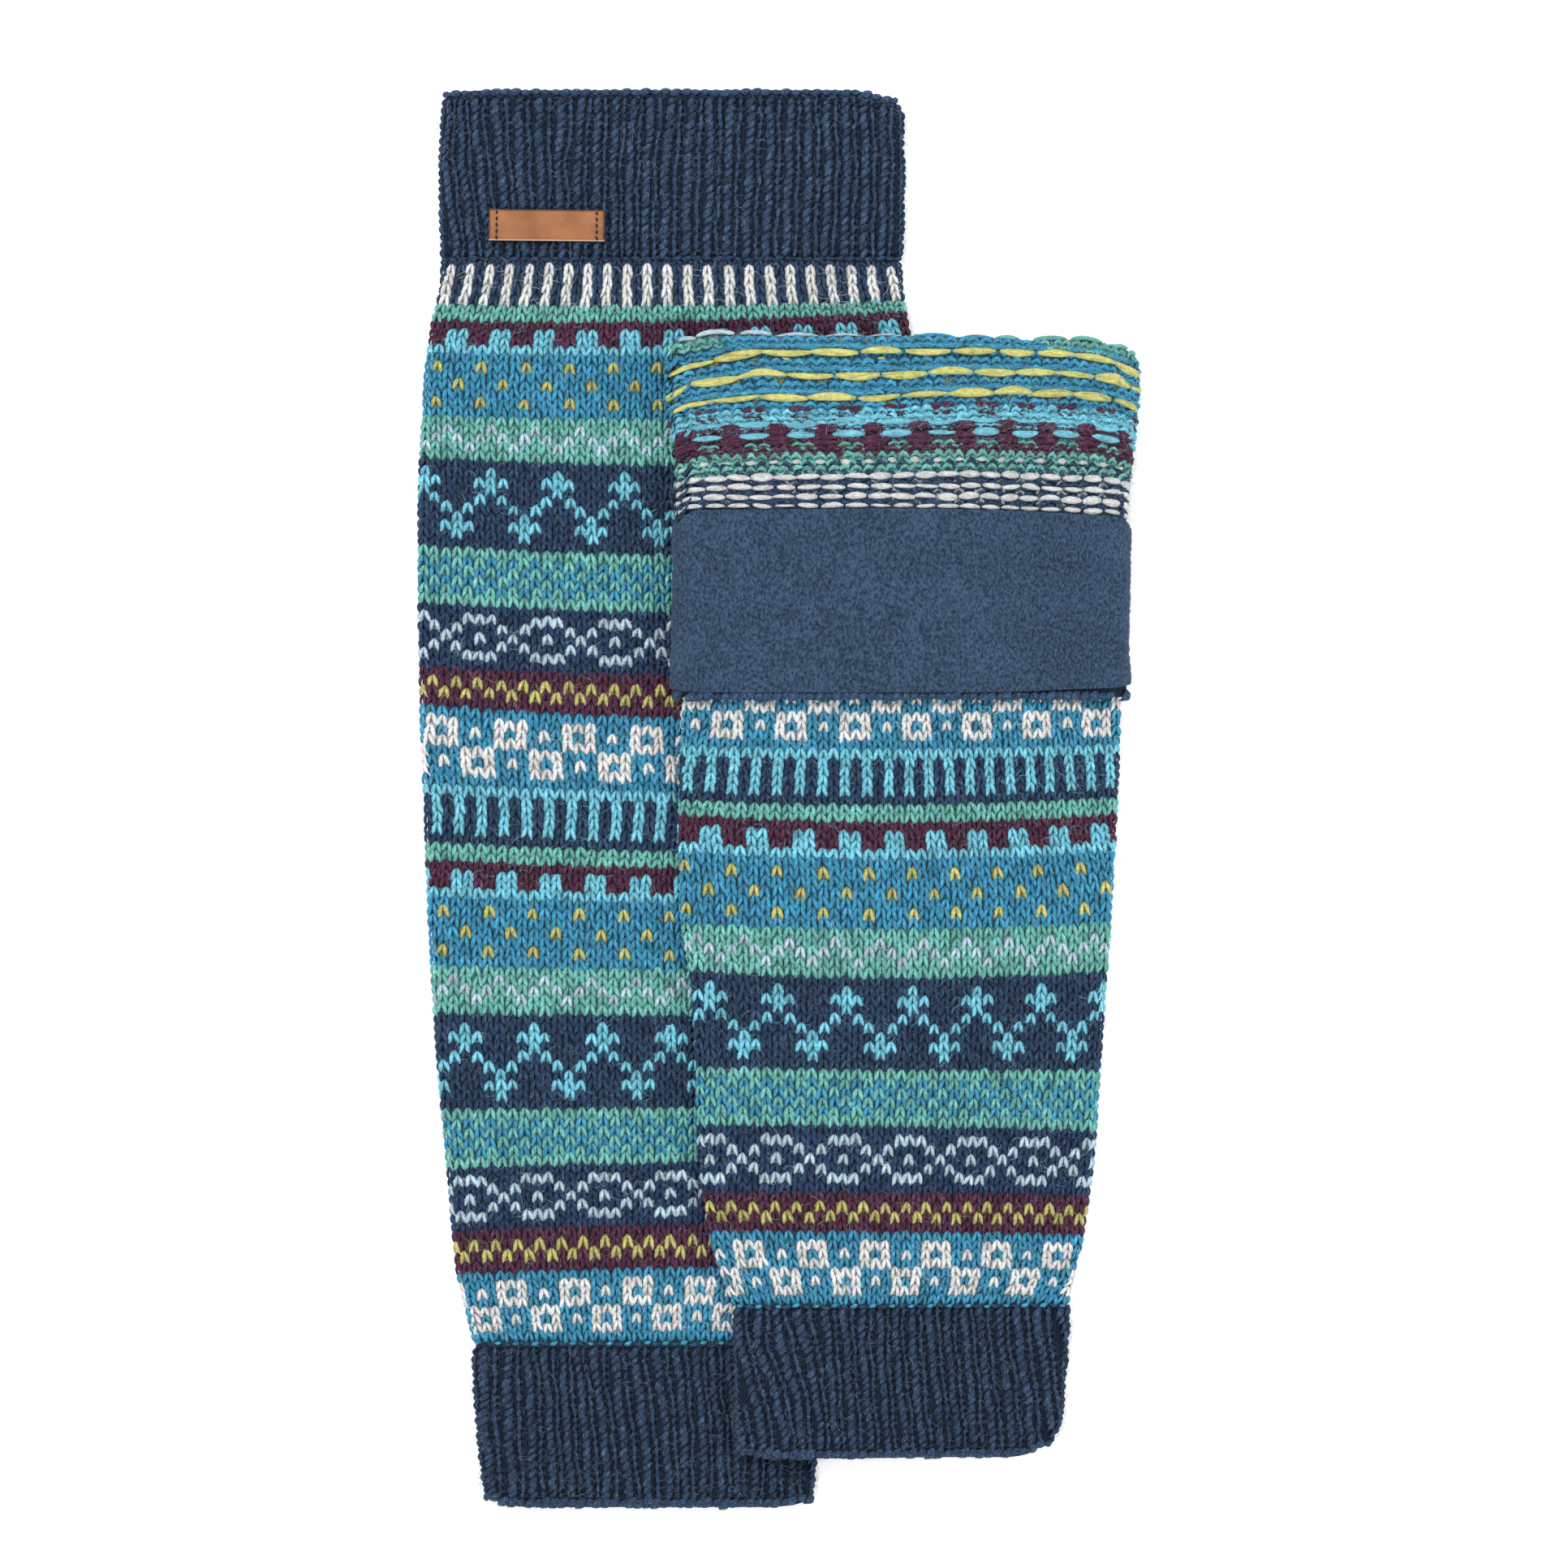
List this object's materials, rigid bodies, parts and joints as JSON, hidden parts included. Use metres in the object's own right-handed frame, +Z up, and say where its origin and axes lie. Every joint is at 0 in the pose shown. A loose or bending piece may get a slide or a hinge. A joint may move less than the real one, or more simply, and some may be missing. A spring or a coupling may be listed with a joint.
{
  "type": "pair of leg warmers",
  "caption": "Knitted wool leg warmers laid flat, one over the other, with ribbed cuffs, colourwork bands and one top turned down to show fleece.",
  "frame": {"origin": "centre of the footprint of the pair as laid, on the surface it lies on", "axes": "+Y along the legs from the ankle cuffs towards the top cuffs, +X across towards the upper leg warmer, +Z up from the surface"},
  "size_m": [0.2136, 0.4196, 0.0185],
  "materials": {
    "pattern_knit": "matte wool colourwork knit",
    "rib_knit": "matte navy wool rib",
    "fleece": "matte steel-blue fleece pile",
    "leather": "smooth tan leather, plain"
  },
  "bodies": {
    "root": {"left_body": "pattern_knit", "left_top_cuff": "rib_knit", "left_bottom_cuff": "rib_knit", "left_label": "leather", "right_body": "pattern_knit", "right_bottom_cuff": "rib_knit", "right_top_cuff": "rib_knit", "right_lining": "fleece"}
  },
  "joints": []
}
